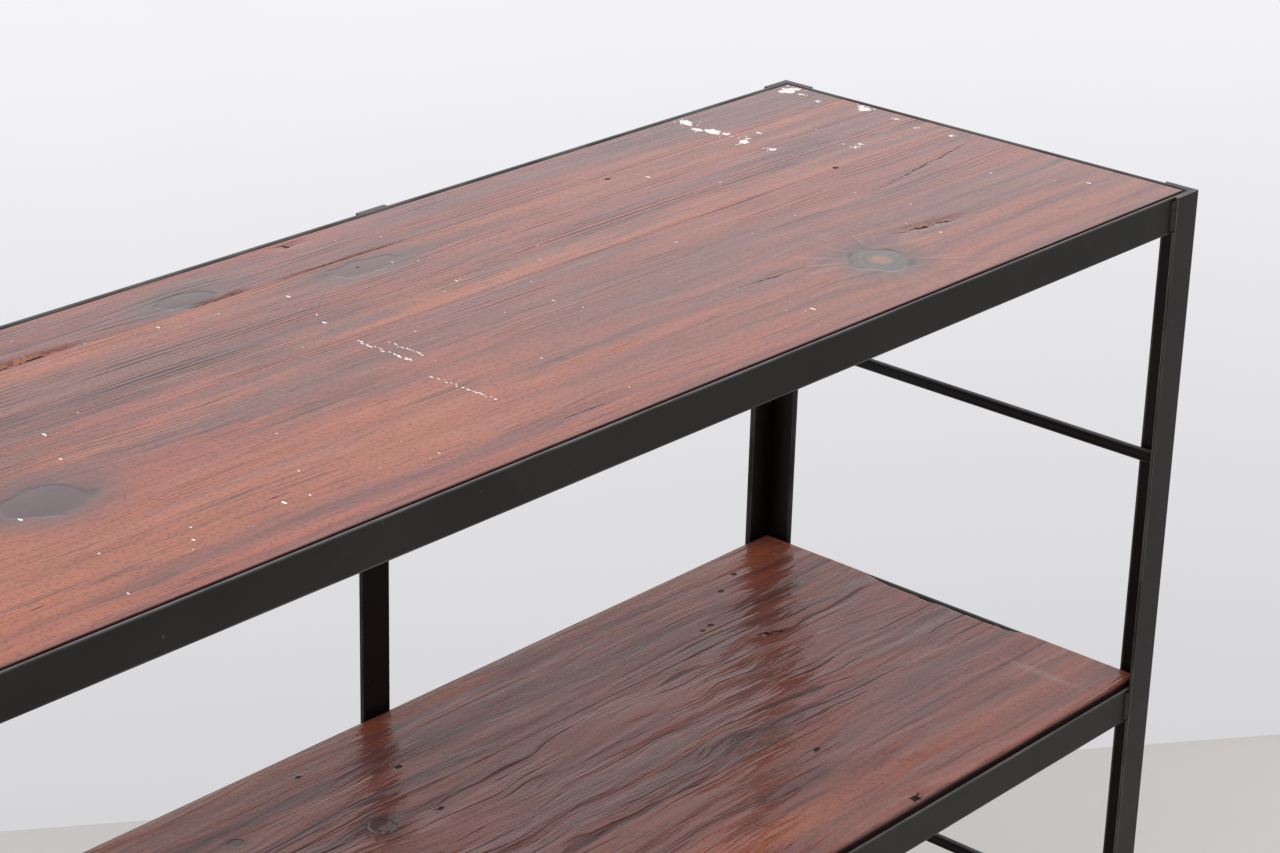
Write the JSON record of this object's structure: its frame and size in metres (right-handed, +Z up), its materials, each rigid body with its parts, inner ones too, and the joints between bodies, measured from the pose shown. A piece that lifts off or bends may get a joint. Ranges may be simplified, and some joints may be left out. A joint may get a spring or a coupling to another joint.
{
  "type": "open bookcase",
  "caption": "Open steel angle bookcase with lift-out timber shelf boards, side rods, back uprights and screw-adjusted levelling feet.",
  "frame": {"origin": "on the floor plane, at the middle of the footprint", "axes": "+X along the width, to the right seen from the front; +Y to the back; +Z up"},
  "size_m": [1.25, 0.35, 0.8],
  "materials": {
    "blackened_steel": "satin black, worn lighter along the edges",
    "stained_timber": "old softwood, red-brown stain under a gloss clear coat",
    "plated_steel": "zinc plated",
    "black_plastic": "matt moulded plastic"
  },
  "bodies": {
    "frame": {"post_front_left": "blackened_steel", "post_front_right": "blackened_steel", "post_back_left": "blackened_steel", "post_back_right": "blackened_steel", "upright_left": "blackened_steel", "upright_right": "blackened_steel", "top_rail_front": "blackened_steel", "top_rail_back": "blackened_steel", "top_rail_left": "blackened_steel", "top_rail_right": "blackened_steel", "middle_rail_front": "blackened_steel", "middle_rail_back": "blackened_steel", "middle_rail_left": "blackened_steel", "middle_rail_right": "blackened_steel", "bottom_rail_front": "blackened_steel", "bottom_rail_back": "blackened_steel", "bottom_rail_left": "blackened_steel", "bottom_rail_right": "blackened_steel", "rod_upper_left": "blackened_steel", "rod_upper_right": "blackened_steel", "rod_lower_left": "blackened_steel", "rod_lower_right": "blackened_steel", "foot_plate_front_left": "blackened_steel", "foot_plate_front_right": "blackened_steel", "foot_plate_back_left": "blackened_steel", "foot_plate_back_right": "blackened_steel", "foot_weld_nuts": "plated_steel"},
    "top_board": {"top_plank_front": "stained_timber", "top_plank_middle": "stained_timber", "top_plank_back": "stained_timber"},
    "middle_board": {"middle_plank_front": "stained_timber", "middle_plank_middle": "stained_timber", "middle_plank_back": "stained_timber"},
    "bottom_board": {"bottom_plank_front": "stained_timber", "bottom_plank_middle": "stained_timber", "bottom_plank_back": "stained_timber"},
    "pad_front_left": {"foot_pad_front_left": "black_plastic"},
    "pad_front_right": {"foot_pad_front_right": "black_plastic"},
    "pad_back_left": {"foot_pad_back_left": "black_plastic"},
    "pad_back_right": {"foot_pad_back_right": "black_plastic"},
    "screw_front_left": {"foot_screw_front_left": "plated_steel"},
    "screw_front_right": {"foot_screw_front_right": "plated_steel"},
    "screw_back_left": {"foot_screw_back_left": "plated_steel"},
    "screw_back_right": {"foot_screw_back_right": "plated_steel"}
  },
  "joints": [
    {"name": "top_board_lift", "type": "slide", "parent": "frame", "child": "top_board", "axis": [0, 0, 1], "range_m": [0, 0.12]},
    {"name": "middle_board_lift", "type": "slide", "parent": "frame", "child": "middle_board", "axis": [0, 0, 1], "range_m": [0, 0.12]},
    {"name": "bottom_board_lift", "type": "slide", "parent": "frame", "child": "bottom_board", "axis": [0, 0, 1], "range_m": [0, 0.12]},
    {"name": "foot_extend_front_left", "type": "slide", "parent": "frame", "child": "pad_front_left", "axis": [0, 0, -1], "range_m": [0, 0.015]},
    {"name": "foot_turn_front_left", "type": "hinge", "parent": "pad_front_left", "child": "screw_front_left", "pos_m": [-0.611, -0.161, 0.008], "axis": [0, 0, -1], "range_deg": [0, 4321]},
    {"name": "foot_extend_front_right", "type": "slide", "parent": "frame", "child": "pad_front_right", "axis": [0, 0, -1], "range_m": [0, 0.015]},
    {"name": "foot_turn_front_right", "type": "hinge", "parent": "pad_front_right", "child": "screw_front_right", "pos_m": [0.611, -0.161, 0.008], "axis": [0, 0, -1], "range_deg": [0, 4321]},
    {"name": "foot_extend_back_left", "type": "slide", "parent": "frame", "child": "pad_back_left", "axis": [0, 0, -1], "range_m": [0, 0.015]},
    {"name": "foot_turn_back_left", "type": "hinge", "parent": "pad_back_left", "child": "screw_back_left", "pos_m": [-0.611, 0.161, 0.008], "axis": [0, 0, -1], "range_deg": [0, 4321]},
    {"name": "foot_extend_back_right", "type": "slide", "parent": "frame", "child": "pad_back_right", "axis": [0, 0, -1], "range_m": [0, 0.015]},
    {"name": "foot_turn_back_right", "type": "hinge", "parent": "pad_back_right", "child": "screw_back_right", "pos_m": [0.611, 0.161, 0.008], "axis": [0, 0, -1], "range_deg": [0, 4321]}
  ],
  "couplings": [
    {"joint": "foot_turn_front_left", "follows": "foot_extend_front_left", "rad_per_m": 5026.5},
    {"joint": "foot_turn_front_right", "follows": "foot_extend_front_right", "rad_per_m": 5026.5},
    {"joint": "foot_turn_back_left", "follows": "foot_extend_back_left", "rad_per_m": 5026.5},
    {"joint": "foot_turn_back_right", "follows": "foot_extend_back_right", "rad_per_m": 5026.5}
  ]
}
